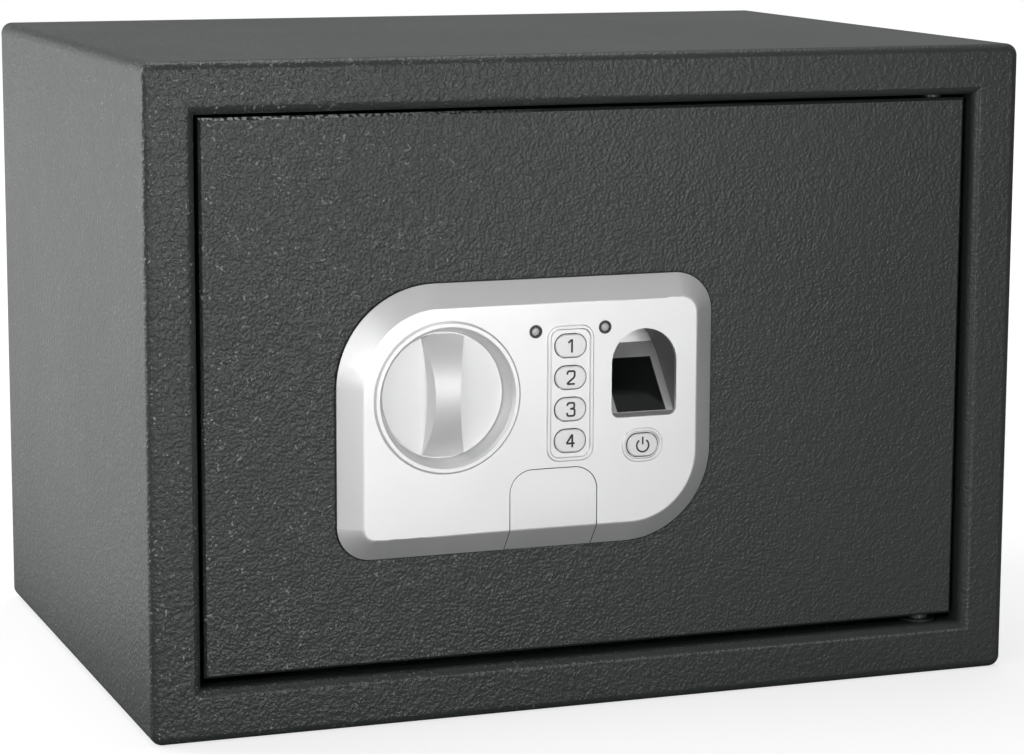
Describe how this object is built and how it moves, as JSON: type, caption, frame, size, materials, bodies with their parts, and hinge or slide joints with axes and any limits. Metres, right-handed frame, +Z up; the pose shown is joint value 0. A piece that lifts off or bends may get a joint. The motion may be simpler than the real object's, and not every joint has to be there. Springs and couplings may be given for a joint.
{
  "type": "electronic safe",
  "caption": "Compact steel safe with a recessed door, locking bolts, and a lock panel with a turning knob, keypad, fingerprint pocket and emergency key lock.",
  "frame": {"origin": "middle of the case's footprint, on the face it stands on", "axes": "+Z up, +X to the right of someone facing the door, the door faces -Y"},
  "size_m": [0.35, 0.2539, 0.25],
  "materials": {
    "dark_coat": "textured powder coat",
    "silver_plastic": "satin silver paint",
    "white_key": "satin",
    "zinc_steel": "zinc plated",
    "bolt_steel": "bright plated",
    "brass": "turned",
    "black_plastic": "moulded",
    "grey_plastic": "moulded",
    "board_green": "lacquered",
    "copper_coil": "enamelled wire",
    "dark_window": "polished",
    "lens_clear": "moulded lens",
    "rubber": "moulded",
    "felt": "needled felt",
    "cell_wrap": "shrunk film",
    "red_button": "moulded"
  },
  "bodies": {
    "case": {"case_wrapper": "dark_coat", "back_panel": "dark_coat", "floor_mat": "felt", "hinge_plates": "dark_coat"},
    "door": {"door_plate": "dark_coat", "hinge_straps": "dark_coat", "hinge_pins": "dark_coat", "hinge_collar": "black_plastic", "panel_housing": "silver_plastic", "keypad_mat": "rubber", "keypad_board": "board_green", "led_lenses": "lens_clear", "led_rings": "grey_plastic", "print_pocket": "grey_plastic", "print_window": "dark_window", "print_module": "board_green", "knob_bush": "grey_plastic", "bolt_bracket": "dark_coat", "carriage_guides": "zinc_steel", "solenoid_frame": "zinc_steel", "solenoid_coil": "copper_coil", "plunger_spring": "bolt_steel", "lock_body": "bolt_steel", "lock_nut": "bolt_steel", "inner_cover": "black_plastic", "cover_posts": "zinc_steel", "cover_screws": "bolt_steel", "panel_screws": "bolt_steel", "battery_tray": "black_plastic", "battery_cells": "cell_wrap", "battery_contacts": "bolt_steel", "control_board": "board_green", "board_standoffs": "zinc_steel", "board_components": "black_plastic", "cable_grommet": "rubber", "panel_cable": "black_plastic"},
    "knob": {"knob": "silver_plastic", "knob_spindle": "zinc_steel", "drive_cam": "zinc_steel"},
    "bolts": {"bolt_carriage": "zinc_steel", "locking_bolts": "bolt_steel", "bolt_screws": "zinc_steel"},
    "plunger": {"plunger": "bolt_steel"},
    "lock_plug": {"lock_plug": "brass", "lock_cam": "zinc_steel"},
    "key_cover": {"key_cover": "silver_plastic"},
    "battery_lid": {"battery_lid": "black_plastic"},
    "reset_button": {"reset_button": "red_button"},
    "power_key": {"power_key": "white_key"},
    "key_1": {"key_1": "white_key"},
    "key_2": {"key_2": "white_key"},
    "key_3": {"key_3": "white_key"},
    "key_4": {"key_4": "white_key"}
  },
  "joints": [
    {"name": "door_swing", "type": "hinge", "parent": "case", "child": "door", "pos_m": [0.143, -0.1125, 0.125], "axis": [0, 0, 1], "range_deg": [0, 105]},
    {"name": "knob_turn", "type": "hinge", "parent": "door", "child": "knob", "pos_m": [-0.062, -0.121, 0.124], "axis": [0, -1, 0], "range_deg": [0, 90]},
    {"name": "bolt_slide", "type": "slide", "parent": "door", "child": "bolts", "axis": [-1, 0, 0], "range_m": [0, 0.015]},
    {"name": "plunger_slide", "type": "slide", "parent": "door", "child": "plunger", "axis": [0, 0, -1], "range_m": [-0.005, 0], "deforming": ["plunger_spring"]},
    {"name": "lock_plug_turn", "type": "hinge", "parent": "door", "child": "lock_plug", "pos_m": [-0.0197, -0.119, 0.08], "axis": [0, -1, 0], "range_deg": [0, 90]},
    {"name": "key_cover_slide", "type": "slide", "parent": "door", "child": "key_cover", "axis": [0, 0, -1], "range_m": [0, 0.031]},
    {"name": "battery_lid_lift", "type": "slide", "parent": "door", "child": "battery_lid", "axis": [0, 1, 0], "range_m": [0, 0.02]},
    {"name": "reset_press", "type": "slide", "parent": "door", "child": "reset_button", "axis": [0, -1, 0], "range_m": [0, 0.001], "stiffness_N_per_m": 400},
    {"name": "power_key_press", "type": "slide", "parent": "door", "child": "power_key", "axis": [0, 1, 0], "range_m": [0, 0.0008], "stiffness_N_per_m": 600},
    {"name": "key_1_press", "type": "slide", "parent": "door", "child": "key_1", "axis": [0, 1, 0], "range_m": [0, 0.0008], "stiffness_N_per_m": 600},
    {"name": "key_2_press", "type": "slide", "parent": "door", "child": "key_2", "axis": [0, 1, 0], "range_m": [0, 0.0008], "stiffness_N_per_m": 600},
    {"name": "key_3_press", "type": "slide", "parent": "door", "child": "key_3", "axis": [0, 1, 0], "range_m": [0, 0.0008], "stiffness_N_per_m": 600},
    {"name": "key_4_press", "type": "slide", "parent": "door", "child": "key_4", "axis": [0, 1, 0], "range_m": [0, 0.0008], "stiffness_N_per_m": 600}
  ],
  "couplings": [
    {"joint": "knob_turn", "follows": "bolt_slide", "rad_per_m": 104.72}
  ]
}
